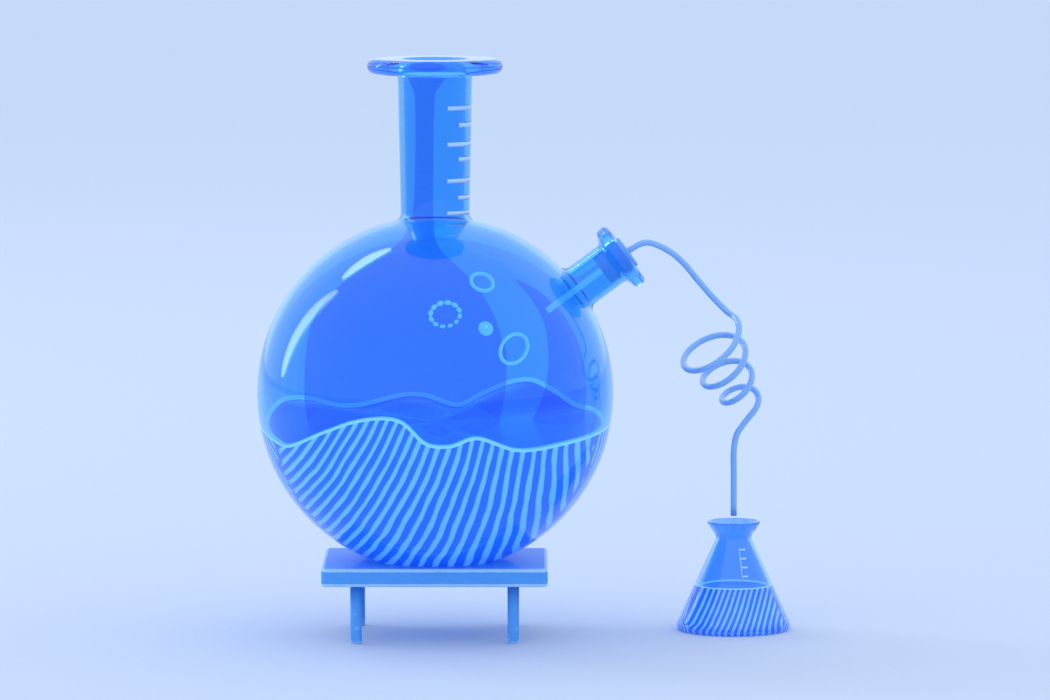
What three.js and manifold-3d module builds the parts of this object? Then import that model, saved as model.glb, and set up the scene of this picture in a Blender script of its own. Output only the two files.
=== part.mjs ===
// A round-bottomed boiling flask on a low four-legged stand. A bent glass tube leaves the flask's side neck
// through a stopper, makes three falling loops and drips into a small conical flask.
// Millimetres, +Z up, seen from -Y. The origin is on the bench, under the middle of the whole apparatus.
import * as THREE from "three";
import { mergeVertices } from "three/addons/utils/BufferGeometryUtils.js";
import Module from "manifold-3d";

// Where things stand
const FLASK_X = -41.95;
const RECEIVER_X = 98.35;
const RECEIVER_Y = 17;
const SEAT_CLEARANCE = 0.3;

// Boiling flask
const BULB_RADIUS = 83.4;
const BULB_CENTRE_Z = 113.7;
const GLASS_WALL = 2.5;
const NECK_ROOT_RADIUS = 16;
const NECK_TOP_RADIUS = 17.4;
const RIM_RADIUS = 31.6;
const RIM_THICKNESS = 7;
const RIM_TOP_Z = 270.3;
const RIM_SOFTENING = 1.2;
const NECK_SEAL_Z = BULB_CENTRE_Z + Math.sqrt(BULB_RADIUS ** 2 - NECK_ROOT_RADIUS ** 2);

// Side neck, with distances measured along its axis from the bulb's centre
const SIDE_ELEVATION = THREE.MathUtils.degToRad(36.5);
const SIDE_ROOT = 81.4;
const SIDE_ROOT_RADIUS = 11.6;
const SIDE_FLARE_END = 88;
const SIDE_RADIUS = 10.5;
const SIDE_BORE_RADIUS = 8.2;
const SIDE_LIP_START = 103.4;
const SIDE_LIP_THICKNESS = 5.6;
const SIDE_LIP_RADIUS = 16.2;
const SIDE_MOUTH = 111;
const SEAL_CLEARANCE = 0.3;

// Stopper in the side neck
const STOPPER_INNER_END = 97;
const STOPPER_OUTER_END = 112.2;
const STOPPER_TIP_RADIUS = 7.4;
const STOPPER_CHAMFER = 0.6;

// Delivery tube
const TUBE_RADIUS = 1.5;
const TUBE_CLEARANCE = 0.4;
const TUBE_INNER_END = 65;
const TUBE_STRAIGHT_END = 113.5;
const COIL_TURNS = 3.2;
const COIL_PITCH = 14.3;
const COIL_START_RADIUS = 17;
const COIL_RADIUS_LOSS_PER_TURN = 3.3;
const COIL_START = new THREE.Vector3(126.4, 0, 139.5);
const COIL_LEAN = THREE.MathUtils.degToRad(59.3);
const COIL_RECESSION = THREE.MathUtils.degToRad(30);
const DROP_END_Z = 54;

// Liquid in the flask
const LIQUID_LEVEL_Z = 102;
const LIQUID_CALM_Z = 84;
// Each wave: crest height, crest spacing, heading and phase, the angles in radians
const WAVES = [
  { height: 6, spacing: 56.7, heading: 1.72, phase: 1.42 },
  { height: 4.8, spacing: 50.6, heading: 0.23, phase: 0.98 },
  { height: 3.3, spacing: 101.8, heading: 2.08, phase: 3.91 },
];

// Stand
const BOARD_LENGTH = 105;
const BOARD_DEPTH = 80;
const BOARD_THICKNESS = 8.5;
const BOARD_TOP_Z = 35.9;
const BOARD_CORNER_RADIUS = 3;
const SEAT_HOLE_RADIUS = 26;
const LEG_RADIUS = 2.7;
const LEG_FOOT_ROUNDING = 0.8;
// Each leg: its name, and its place from the bulb's axis
const LEGS = [
  { name: "stand_leg_front_left", x: -36.5, y: -31 },
  { name: "stand_leg_front_right", x: 36.5, y: -31 },
  { name: "stand_leg_back_left", x: -36.5, y: 31 },
  { name: "stand_leg_back_right", x: 36.5, y: 31 },
];

// Receiver flask
const RECEIVER_BASE_RADIUS = 27;
const RECEIVER_HEEL_RADIUS = 2.6;
const RECEIVER_NECK_RADIUS = 8;
const RECEIVER_NECK_Z = 44;
const RECEIVER_RIM_RADIUS = 13;
const RECEIVER_TOP_Z = 51.5;
const RECEIVER_WALL = 1.4;
const RECEIVER_FLOOR = 2;
const RECEIVER_LIQUID_Z = 20.9;

// Facets round each turned piece
const BULB_FACETS = 40;
const SMALL_FACETS = 32;
const LEG_FACETS = 16;

const wasm = await Module();
wasm.setup();

// A closed geometry as a solid that can be joined and cut.
function solidOf(geometry) {
  const bare = geometry.clone();
  bare.deleteAttribute("normal");
  bare.deleteAttribute("uv");
  const merged = mergeVertices(bare, 1e-4);
  const mesh = new wasm.Mesh({
    numProp: 3,
    vertProperties: merged.attributes.position.array,
    triVerts: new Uint32Array(merged.index.array),
  });
  return new wasm.Manifold(mesh);
}

function geometryOf(solid) {
  const { vertProperties, triVerts } = solid.getMesh();
  const geometry = new THREE.BufferGeometry();
  geometry.setAttribute("position", new THREE.BufferAttribute(vertProperties, 3));
  geometry.setIndex(new THREE.BufferAttribute(triVerts, 1));
  geometry.computeVertexNormals();
  return geometry;
}

// A profile of [radius, height] points turned about +Z. It runs out along the bottom and back over the top.
function turned(profile, facets) {
  const points = profile.map(([radius, height]) => new THREE.Vector2(radius, height));
  return new THREE.LatheGeometry(points, facets).rotateX(Math.PI / 2);
}

// Profile points on an arc, its angles counted from straight out.
function arc(centreRadius, centreHeight, radius, from, to, steps) {
  return Array.from({ length: steps + 1 }, (_, step) => {
    const angle = from + ((to - from) * step) / steps;
    return [centreRadius + radius * Math.cos(angle), centreHeight + radius * Math.sin(angle)];
  });
}

// The lower half of a sphere about the bulb's centre, from its pole to its equator.
function lowerHalf(radius) {
  return arc(0, BULB_CENTRE_Z, radius, -Math.PI / 2, 0, 12);
}

// A sphere about the bulb's centre, from its lower pole up to where it meets a neck of that radius.
function upToNeck(radius, neckRadius) {
  const upperPart = arc(0, BULB_CENTRE_Z, radius, 0, Math.acos(neckRadius / radius), 10);
  return [...lowerHalf(radius), ...upperPart.slice(1)];
}

// Turns a geometry made along +Z about the bulb's centre onto the side neck's axis.
function alongSideNeck(geometry) {
  return geometry.rotateY(Math.PI / 2 - SIDE_ELEVATION).translate(0, 0, BULB_CENTRE_Z);
}

// The blown bulb, open at the seal with the main neck and bored for the side neck.
function flaskBulb() {
  const boreRadius = NECK_ROOT_RADIUS - GLASS_WALL;
  const outside = upToNeck(BULB_RADIUS, NECK_ROOT_RADIUS);
  const inside = [...upToNeck(BULB_RADIUS - GLASS_WALL, boreRadius), [boreRadius, NECK_SEAL_Z]];
  const shell = turned([...outside, ...inside.reverse()], BULB_FACETS);
  return geometryOf(solidOf(shell).subtract(solidOf(sideBore())));
}

// The main neck, sealed on the bulb, with a wide rim at its mouth.
function flaskMainNeck() {
  const edgeRadius = RIM_THICKNESS / 2;
  const boreTopRadius = NECK_TOP_RADIUS - GLASS_WALL;
  const boreRootRadius = NECK_ROOT_RADIUS - GLASS_WALL;
  const profile = [
    [boreRootRadius, NECK_SEAL_Z],
    [NECK_ROOT_RADIUS, NECK_SEAL_Z],
    [NECK_TOP_RADIUS, RIM_TOP_Z - RIM_THICKNESS - RIM_SOFTENING],
    [NECK_TOP_RADIUS + RIM_SOFTENING, RIM_TOP_Z - RIM_THICKNESS],
    ...arc(RIM_RADIUS - edgeRadius, RIM_TOP_Z - edgeRadius, edgeRadius, -Math.PI / 2, Math.PI / 2, 8),
    [boreTopRadius + RIM_SOFTENING, RIM_TOP_Z],
    [boreTopRadius, RIM_TOP_Z - RIM_SOFTENING],
    [boreRootRadius, NECK_SEAL_Z],
  ];
  return turned(profile, BULB_FACETS);
}

function sideNeckBlank() {
  const edgeRadius = SIDE_LIP_THICKNESS / 2;
  const profile = [
    [0, SIDE_ROOT],
    [SIDE_ROOT_RADIUS, SIDE_ROOT],
    [SIDE_RADIUS, SIDE_FLARE_END],
    [SIDE_RADIUS, SIDE_LIP_START],
    ...arc(SIDE_LIP_RADIUS - edgeRadius, SIDE_MOUTH - edgeRadius, edgeRadius, -Math.PI / 2, Math.PI / 2, 6),
    [0, SIDE_MOUTH],
  ];
  return alongSideNeck(turned(profile, SMALL_FACETS));
}

function sideBore() {
  const start = TUBE_INNER_END;
  const end = SIDE_MOUTH + GLASS_WALL;
  const profile = [[0, start], [SIDE_BORE_RADIUS, start], [SIDE_BORE_RADIUS, end], [0, end]];
  return alongSideNeck(turned(profile, SMALL_FACETS));
}

// The side neck, sealed on the bulb's shoulder, with a rounded lip at its mouth.
function flaskSideNeck() {
  const seal = upToNeck(BULB_RADIUS + SEAL_CLEARANCE, NECK_ROOT_RADIUS);
  const shoulder = turned([...seal, [0, NECK_SEAL_Z]], BULB_FACETS);
  const neck = solidOf(sideNeckBlank()).subtract(solidOf(sideBore()));
  return geometryOf(neck.subtract(solidOf(shoulder)));
}

function waveHeight(x, y) {
  return WAVES.reduce((sum, { height, spacing, heading, phase }) => {
    const along = x * Math.cos(heading) + y * Math.sin(heading);
    return sum + height * Math.sin((2 * Math.PI * along) / spacing + phase);
  }, 0);
}

// Fills the bulb to the liquid's level. Above the calm height the liquid follows its waves and keeps to the glass.
function flaskLiquid() {
  const radius = BULB_RADIUS - GLASS_WALL - SEAT_CLEARANCE;
  const widthAt = (height) => Math.sqrt(radius ** 2 - (height - BULB_CENTRE_Z) ** 2);
  const surfaceRings = 10;
  const risingRings = 4;
  const profile = lowerHalf(radius).filter(([, height]) => height < LIQUID_CALM_Z);
  for (let ring = 0; ring <= risingRings; ring += 1) {
    const height = LIQUID_CALM_Z + ((LIQUID_LEVEL_Z - LIQUID_CALM_Z) * ring) / risingRings;
    profile.push([widthAt(height), height]);
  }
  for (let ring = surfaceRings - 1; ring >= 0; ring -= 1) {
    profile.push([(widthAt(LIQUID_LEVEL_Z) * ring) / surfaceRings, LIQUID_LEVEL_Z]);
  }
  const geometry = turned(profile, BULB_FACETS);
  const place = geometry.attributes.position;
  for (let i = 0; i < place.count; i += 1) {
    const [x, y, height] = [place.getX(i), place.getY(i), place.getZ(i)];
    const share = (height - LIQUID_CALM_Z) / (LIQUID_LEVEL_Z - LIQUID_CALM_Z);
    if (share > 0) {
      const waved = height + share * waveHeight(x, y);
      const widening = widthAt(waved) / widthAt(height);
      place.setXYZ(i, x * widening, y * widening, waved);
    }
  }
  return geometry;
}

function stopper() {
  const bore = TUBE_RADIUS + TUBE_CLEARANCE;
  const headRadius = SIDE_BORE_RADIUS - SEAT_CLEARANCE;
  const profile = [
    [bore, STOPPER_INNER_END],
    [STOPPER_TIP_RADIUS, STOPPER_INNER_END],
    [headRadius, STOPPER_OUTER_END - STOPPER_CHAMFER],
    [headRadius - STOPPER_CHAMFER, STOPPER_OUTER_END],
    [bore, STOPPER_OUTER_END],
    [bore, STOPPER_INNER_END],
  ];
  return turned(profile, SMALL_FACETS);
}

// The coil is a tapering helix. Its axis falls to the right and away from the viewer.
function coilPoint(turn) {
  const down = new THREE.Vector3(Math.cos(COIL_LEAN), 0, -Math.sin(COIL_LEAN));
  const across = new THREE.Vector3(Math.sin(COIL_LEAN), 0, Math.cos(COIL_LEAN));
  const back = new THREE.Vector3(0, 1, 0);
  const axis = down.clone().multiplyScalar(Math.cos(COIL_RECESSION));
  axis.addScaledVector(back, Math.sin(COIL_RECESSION));
  const rear = down.clone().multiplyScalar(-Math.sin(COIL_RECESSION));
  rear.addScaledVector(back, Math.cos(COIL_RECESSION));
  const radius = COIL_START_RADIUS - COIL_RADIUS_LOSS_PER_TURN * turn;
  const angle = 2 * Math.PI * turn;
  return COIL_START.clone()
    .addScaledVector(axis, COIL_PITCH * turn)
    .addScaledVector(across, radius * Math.cos(angle))
    .addScaledVector(rear, -radius * Math.sin(angle));
}

// The tube's centre line, from inside the bulb to just over the receiver's mouth, about the bulb's axis.
function tubeLine() {
  const onAxis = (distance) =>
    new THREE.Vector3(
      distance * Math.cos(SIDE_ELEVATION),
      0,
      BULB_CENTRE_Z + distance * Math.sin(SIDE_ELEVATION),
    );
  const straight = [TUBE_INNER_END, 80, 95, 108, TUBE_STRAIGHT_END].map(onAxis);
  const arch = [
    [98.4, 0.3, 184.4],
    [107.5, 1.5, 181.3],
    [115.2, 3.5, 175.4],
    [122.6, 6, 166.6],
    [129.6, 8, 158.4],
    [136.6, 6.5, 151.4],
  ].map((point) => new THREE.Vector3(...point));
  const coilSteps = 40;
  const coil = Array.from({ length: coilSteps + 1 }, (_, step) => coilPoint((COIL_TURNS * step) / coilSteps));
  const dropX = RECEIVER_X - FLASK_X;
  const drop = [
    [dropX + 5, RECEIVER_Y + 0.6, 98],
    [dropX + 1.4, RECEIVER_Y + 0.2, 92.5],
    [dropX, RECEIVER_Y, 85],
    [dropX, RECEIVER_Y, 75],
    [dropX, RECEIVER_Y, DROP_END_Z],
  ].map((point) => new THREE.Vector3(...point));
  return new THREE.CatmullRomCurve3([...straight, ...arch, ...coil, ...drop]);
}

function deliveryTube() {
  const section = new THREE.Shape().absarc(0, 0, TUBE_RADIUS, 0, 2 * Math.PI);
  return new THREE.ExtrudeGeometry(section, {
    curveSegments: 4,
    steps: 150,
    bevelEnabled: false,
    extrudePath: tubeLine(),
  });
}

// A board with rounded corners and a round hole, dished round the hole to seat the bulb.
function standBoard() {
  const [halfLength, halfDepth] = [BOARD_LENGTH / 2, BOARD_DEPTH / 2];
  const outline = new THREE.Shape();
  const corners = [
    { x: halfLength, y: -halfDepth, start: -Math.PI / 2 },
    { x: halfLength, y: halfDepth, start: 0 },
    { x: -halfLength, y: halfDepth, start: Math.PI / 2 },
    { x: -halfLength, y: -halfDepth, start: Math.PI },
  ];
  for (const { x, y, start } of corners) {
    const centreX = x - Math.sign(x) * BOARD_CORNER_RADIUS;
    const centreY = y - Math.sign(y) * BOARD_CORNER_RADIUS;
    outline.absarc(centreX, centreY, BOARD_CORNER_RADIUS, start, start + Math.PI / 2);
  }
  outline.holes.push(new THREE.Path().absarc(0, 0, SEAT_HOLE_RADIUS, 0, 2 * Math.PI, true));
  const board = new THREE.ExtrudeGeometry(outline, {
    depth: BOARD_THICKNESS,
    curveSegments: 20,
    bevelEnabled: false,
  });
  board.translate(0, 0, BOARD_TOP_Z - BOARD_THICKNESS);
  const dish = turned([...lowerHalf(BULB_RADIUS + SEAT_CLEARANCE), [0, BULB_CENTRE_Z]], BULB_FACETS);
  return geometryOf(solidOf(board).subtract(solidOf(dish)));
}

function standLeg() {
  const profile = [
    [0, 0],
    ...arc(LEG_RADIUS - LEG_FOOT_ROUNDING, LEG_FOOT_ROUNDING, LEG_FOOT_ROUNDING, -Math.PI / 2, 0, 3),
    [LEG_RADIUS, BOARD_TOP_Z - BOARD_THICKNESS],
    [0, BOARD_TOP_Z - BOARD_THICKNESS],
  ];
  return turned(profile, LEG_FACETS);
}

// The radius of the receiver's cone at a height, outside the glass or a depth inside it.
function receiverRadius(height, depth = 0) {
  const rise = RECEIVER_NECK_Z - RECEIVER_HEEL_RADIUS;
  const taper = (RECEIVER_BASE_RADIUS - RECEIVER_NECK_RADIUS) / rise;
  return RECEIVER_BASE_RADIUS - taper * (height - RECEIVER_HEEL_RADIUS) - depth * Math.hypot(1, taper);
}

function receiverGlass() {
  const heelCentre = RECEIVER_BASE_RADIUS - RECEIVER_HEEL_RADIUS;
  const floorRadius = receiverRadius(RECEIVER_FLOOR + RECEIVER_HEEL_RADIUS, RECEIVER_WALL);
  const profile = [
    [0, 0],
    ...arc(heelCentre, RECEIVER_HEEL_RADIUS, RECEIVER_HEEL_RADIUS, -Math.PI / 2, 0, 4),
    [RECEIVER_NECK_RADIUS, RECEIVER_NECK_Z],
    [RECEIVER_RIM_RADIUS, RECEIVER_TOP_Z - RECEIVER_WALL / 2],
    [RECEIVER_RIM_RADIUS, RECEIVER_TOP_Z],
    [RECEIVER_RIM_RADIUS - RECEIVER_WALL, RECEIVER_TOP_Z],
    [receiverRadius(RECEIVER_NECK_Z, RECEIVER_WALL), RECEIVER_NECK_Z],
    [floorRadius, RECEIVER_FLOOR + RECEIVER_HEEL_RADIUS],
    [floorRadius - RECEIVER_HEEL_RADIUS, RECEIVER_FLOOR],
    [0, RECEIVER_FLOOR],
  ];
  return turned(profile, SMALL_FACETS);
}

function receiverLiquid() {
  const depth = RECEIVER_WALL + SEAT_CLEARANCE;
  const bottom = RECEIVER_FLOOR + SEAT_CLEARANCE;
  const heelTop = RECEIVER_FLOOR + RECEIVER_HEEL_RADIUS;
  const profile = [
    [0, bottom],
    [receiverRadius(heelTop, depth) - RECEIVER_HEEL_RADIUS, bottom],
    [receiverRadius(heelTop, depth), heelTop],
    [receiverRadius(RECEIVER_LIQUID_Z, depth), RECEIVER_LIQUID_Z],
    [0, RECEIVER_LIQUID_Z],
  ];
  return turned(profile, SMALL_FACETS);
}

function glass() {
  return new THREE.MeshStandardMaterial({
    color: 0x7ec0ff,
    roughness: 0.05,
    metalness: 0,
    transparent: true,
    opacity: 0.4,
    side: THREE.DoubleSide,
  });
}

function liquid() {
  return new THREE.MeshStandardMaterial({ color: 0x2f72ff, roughness: 0.1, metalness: 0 });
}

function paint() {
  return new THREE.MeshStandardMaterial({ color: 0x4a90ee, roughness: 0.4, metalness: 0 });
}

function rubber() {
  return new THREE.MeshStandardMaterial({ color: 0x3a7fe6, roughness: 0.7, metalness: 0 });
}

function piece(name, geometry, material) {
  const mesh = new THREE.Mesh(geometry, material);
  mesh.name = name;
  return mesh;
}

const stand = new THREE.Group();
stand.position.x = FLASK_X;
stand.add(piece("stand_board", standBoard(), paint()));
for (const { name, x, y } of LEGS) {
  const leg = piece(name, standLeg(), paint());
  leg.position.set(x, y, 0);
  stand.add(leg);
}

const sideNeck = new THREE.Group();
sideNeck.position.z = BULB_CENTRE_Z;
sideNeck.rotation.y = Math.PI / 2 - SIDE_ELEVATION;
sideNeck.add(piece("side_neck_stopper", stopper(), rubber()));

const flask = new THREE.Group();
flask.position.x = FLASK_X;
flask.add(piece("flask_bulb", flaskBulb(), glass()));
flask.add(piece("flask_main_neck", flaskMainNeck(), glass()));
flask.add(piece("flask_side_neck", flaskSideNeck(), glass()));
flask.add(piece("flask_liquid", flaskLiquid(), liquid()));
flask.add(piece("delivery_tube", deliveryTube(), glass()));
flask.add(sideNeck);

const receiver = new THREE.Group();
receiver.position.set(RECEIVER_X, RECEIVER_Y, 0);
receiver.add(piece("receiver_glass", receiverGlass(), glass()));
receiver.add(piece("receiver_liquid", receiverLiquid(), liquid()));

const apparatus = new THREE.Group();
apparatus.add(stand, flask, receiver);

export default apparatus;
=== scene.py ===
# A round-bottomed boiling flask on a low painted stand. A bent glass tube leads from its side neck, through
# three falling loops, to a small conical receiver. Sizes are in millimetres, and the meshes are in metres.
import math

import bmesh
import bpy
from mathutils import Matrix, Vector


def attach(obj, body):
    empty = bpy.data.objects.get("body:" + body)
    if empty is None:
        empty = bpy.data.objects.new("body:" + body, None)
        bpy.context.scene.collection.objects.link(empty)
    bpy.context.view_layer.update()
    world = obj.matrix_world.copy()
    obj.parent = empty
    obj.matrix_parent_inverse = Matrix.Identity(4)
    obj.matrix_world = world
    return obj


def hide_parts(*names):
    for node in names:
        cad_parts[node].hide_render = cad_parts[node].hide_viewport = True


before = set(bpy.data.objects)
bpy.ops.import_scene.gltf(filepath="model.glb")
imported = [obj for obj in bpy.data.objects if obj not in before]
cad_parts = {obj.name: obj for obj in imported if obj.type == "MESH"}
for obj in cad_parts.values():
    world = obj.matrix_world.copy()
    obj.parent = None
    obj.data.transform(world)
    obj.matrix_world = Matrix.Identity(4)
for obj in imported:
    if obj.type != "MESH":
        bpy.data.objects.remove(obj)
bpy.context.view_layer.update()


# The studio: a wide floor of pale paper, a long lens that looks slightly down as in the picture, and a pale
# room all round for soft light. Two oval softboxes at the upper left put the long highlights on the bulb.
MM = 0.001
LOOK_DOWN = math.radians(5.4)
CAMERA_DISTANCE = 3000
LENS = 220
AIM = Vector((0, 0, 134))
FLOOR_RADIUS = 30000
FLOOR_CORNERS = 64
FLOOR_DROP = 0.05
PAPER = "#ced8e4"
PAPER_FIBRE = "#c8d3e2"
FIBRE_PATCH = 4
WALL_LIGHT = "#d6e4fa"
CEILING_LIGHT = "#e2ecff"
ROOM_STRENGTH = 1.22
LIGHT_BOUNCES = 32
BOX_LIGHT = "#dbe8fb"
BOX_AIM = Vector((-42, 0, 114))
# Each softbox: the two ends of its long side, its breadth, and its power in watts
SOFTBOXES = {
    "shoulder_softbox": (Vector((-1850, 1150, 2210)), Vector((-860, 1440, 2610)), 430, 6.5),
    "side_softbox": (Vector((-2060, 830, 2170)), Vector((-2720, 1340, 250)), 420, 10.5),
}


def linear(hex_colour):
    """An sRGB hex colour as linear red, green and blue, with full alpha."""
    channels = [int(hex_colour[start : start + 2], 16) / 255 for start in (1, 3, 5)]
    return [c / 12.92 if c <= 0.04045 else ((c + 0.055) / 1.055) ** 2.4 for c in channels] + [1]


def full_turn(steps):
    """The angles of a full turn, cut in even steps."""
    return [2 * math.pi * step / steps for step in range(steps)]


def new_material(name, **sockets):
    """A material with some sockets of its shader set. Gives the material, its node tree and the shader."""
    material = bpy.data.materials.new(name)
    material.use_nodes = True
    surface = material.node_tree.nodes["Principled BSDF"]
    for socket, value in sockets.items():
        surface.inputs[socket.replace("_", " ")].default_value = value
    return material, material.node_tree, surface


def plug(tree, node, inputs):
    """Fills inputs of a node, each with a value or with a link from another node's output."""
    for socket, value in inputs.items():
        if isinstance(value, bpy.types.NodeSocket):
            tree.links.new(value, node.inputs[socket])
        else:
            node.inputs[socket].default_value = value


def add_node(tree, kind, inputs=None, **settings):
    """Adds a shader node with its settings and inputs, and gives its outputs."""
    added = tree.nodes.new(kind)
    for name, value in settings.items():
        setattr(added, name, value)
    plug(tree, added, inputs or {})
    return added.outputs


def mottled(tree, pale, deep, patch, detail=2):
    """A colour that drifts between two tones over the piece, in patches of a size in millimetres."""
    place = add_node(tree, "ShaderNodeTexCoord")["Object"]
    pattern = {"Vector": place, "Scale": 1 / (patch * MM), "Detail": detail}
    drift = add_node(tree, "ShaderNodeTexNoise", pattern)["Fac"]
    tones = {"Factor": drift, "A": linear(pale), "B": linear(deep)}
    return add_node(tree, "ShaderNodeMix", tones, data_type="RGBA")["Result"]


def piece_from(name, skins, material, **marks):
    """A smooth mesh object from skins, each a list of points in millimetres and a list of faces over them.

    Each mark is a value for every point, which the piece's material reads by the mark's name.
    """
    points, faces = [], []
    for skin_points, skin_faces in skins:
        faces += [[len(points) + corner for corner in face] for face in skin_faces]
        points += [Vector(point) * MM for point in skin_points]
    mesh = bpy.data.meshes.new(name)
    mesh.from_pydata(points, [], faces)
    for mark, values in marks.items():
        mesh.attributes.new(mark, "FLOAT", "POINT").data.foreach_set("value", values)
    shape = bmesh.new()
    shape.from_mesh(mesh)
    bmesh.ops.remove_doubles(shape, verts=shape.verts, dist=1e-6)
    bmesh.ops.recalc_face_normals(shape, faces=shape.faces)
    shape.to_mesh(mesh)
    shape.free()
    mesh.shade_smooth()
    mesh.materials.append(material)
    piece = bpy.data.objects.new(name, mesh)
    bpy.context.scene.collection.objects.link(piece)
    return piece


camera = bpy.data.objects.new("camera", bpy.data.cameras.new("camera"))
camera.data.lens = LENS
backwards = Vector((0, -math.cos(LOOK_DOWN), math.sin(LOOK_DOWN)))
camera.location = (AIM + CAMERA_DISTANCE * backwards) * MM
camera.rotation_euler = (math.pi / 2 - LOOK_DOWN, 0, 0)
bpy.context.scene.collection.objects.link(camera)
bpy.context.scene.camera = camera

room = bpy.data.worlds.new("studio_room")
room.use_nodes = True
direction = add_node(room.node_tree, "ShaderNodeTexCoord")["Generated"]
height = add_node(room.node_tree, "ShaderNodeSeparateXYZ", {"Vector": direction})["Z"]
tones = {"Factor": height, "A": linear(WALL_LIGHT), "B": linear(CEILING_LIGHT)}
room_tone = add_node(room.node_tree, "ShaderNodeMix", tones, data_type="RGBA")["Result"]
room_light = room.node_tree.nodes["Background"]
plug(room.node_tree, room_light, {"Color": room_tone, "Strength": ROOM_STRENGTH})
bpy.context.scene.world = room
bpy.context.scene.view_settings.view_transform = "Standard"
# light crosses a thick rim by many inner reflections, and it turns black there where it is cut short
bpy.context.scene.cycles.max_bounces = LIGHT_BOUNCES
bpy.context.scene.cycles.glossy_bounces = LIGHT_BOUNCES
bpy.context.scene.cycles.transmission_bounces = LIGHT_BOUNCES

for name, (start, end, breadth, watts) in SOFTBOXES.items():
    light = bpy.data.lights.new(name, "AREA")
    light.shape = "ELLIPSE"
    light.size = (end - start).length * MM
    light.size_y = breadth * MM
    light.energy = watts
    light.color = linear(BOX_LIGHT)[:3]
    middle = (start + end) / 2
    along = (end - start).normalized()
    away = middle - BOX_AIM
    away = (away - along * away.dot(along)).normalized()
    box = bpy.data.objects.new(name, light)
    box.location = middle * MM
    box.rotation_euler = Matrix((along, away.cross(along), away)).transposed().to_euler()
    bpy.context.scene.collection.objects.link(box)

# Seamless backdrop paper: matt, pale and even, so that the glass is drawn by what it reflects.
paper, paper_tree, paper_surface = new_material("seamless_backdrop_paper", Roughness=0.9)
fibres = mottled(paper_tree, PAPER, PAPER_FIBRE, FIBRE_PATCH)
plug(paper_tree, paper_surface, {"Base Color": fibres})

# The paper lies a hair under the feet, so that no two faces share its plane
floor_points = []
for turn in full_turn(FLOOR_CORNERS):
    floor_points.append((FLOOR_RADIUS * math.cos(turn), FLOOR_RADIUS * math.sin(turn), -FLOOR_DROP))
floor = piece_from("paper_floor", [(floor_points, [range(FLOOR_CORNERS)])], paper)


# The stand's board: planed beech painted blue, with a round hole whose upper edge is dished to seat the
# bulb. Handling has rubbed the paint back to its pale undercoat along every edge.
FLASK_X = -41.95
BULB_RADIUS = 83.4
BULB_CENTRE = Vector((FLASK_X, 0, 113.7))
BOARD_HALF_LENGTH = 52.5
BOARD_HALF_DEPTH = 40
BOARD_BOTTOM = 27.4
BOARD_TOP = 35.9
BOARD_CORNER = 3
BOARD_EDGE = 1.1
RUB_WIDTH = 0.7
SEAT_HOLE = 26
SEAT_GAP = 0.3
SEAT_WEAR = 0.2
SEAT_WEAR_WIDTH = 1.2
DISH_RINGS = 9
DISH_STEP = 0.6
UNDERSIDE_RING = 6
EDGE_STEPS = 5
CORNER_STEPS = 8
SIDE_STEPS = 26
PAINT = "#57a8f0"
PAINT_DEEP = "#4698e8"
UNDERCOAT = "#a9d4ff"
BRUSH_MARK = 1.6
BRUSH_DEPTH = 0.2
WEAR_PATCH = 3


def skin(rings, loop=False, capped=False):
    """Points and faces of a skin laid over rings of points, ring by ring."""
    count = len(rings[0])
    faces = []
    for row in range(len(rings) if loop else len(rings) - 1):
        here, there = row * count, (row + 1) % len(rings) * count
        for i in range(count):
            after = (i + 1) % count
            faces.append((here + i, here + after, there + after, there + i))
    if capped:
        faces += [range(count), range((len(rings) - 1) * count, len(rings) * count)]
    return [point for ring in rings for point in ring], faces


def board_outline(inset, height):
    """The board's outline, moved in by an inset, with round corners and its sides cut in short steps."""
    arcs = []
    for side_x, side_y, start in ((1, -1, -90), (1, 1, 0), (-1, 1, 90), (-1, -1, 180)):
        centre_x = FLASK_X + side_x * (BOARD_HALF_LENGTH - BOARD_CORNER)
        centre_y = side_y * (BOARD_HALF_DEPTH - BOARD_CORNER)
        reach = BOARD_CORNER - inset
        arc = []
        for step in range(CORNER_STEPS + 1):
            turn = math.radians(start + 90 * step / CORNER_STEPS)
            x = centre_x + reach * math.cos(turn)
            arc.append(Vector((x, centre_y + reach * math.sin(turn), height)))
        arcs.append(arc)
    outline = []
    for arc, following in zip(arcs, arcs[1:] + arcs[:1]):
        outline += arc
        outline += [arc[-1].lerp(following[0], step / SIDE_STEPS) for step in range(1, SIDE_STEPS)]
    return outline


def seat_ring(radius, height):
    """A ring round the hole, with its points in line with the outline's."""
    directions = [Vector((point.x - FLASK_X, point.y)).normalized() for point in board_outline(0, 0)]
    return [Vector((FLASK_X + radius * d.x, radius * d.y, height)) for d in directions]


def dish_height(radius):
    """The height of the spherical dish that the bulb sits in, at a distance from the hole's axis."""
    return BULB_CENTRE.z - math.sqrt((BULB_RADIUS + SEAT_GAP) ** 2 - radius**2)


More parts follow.
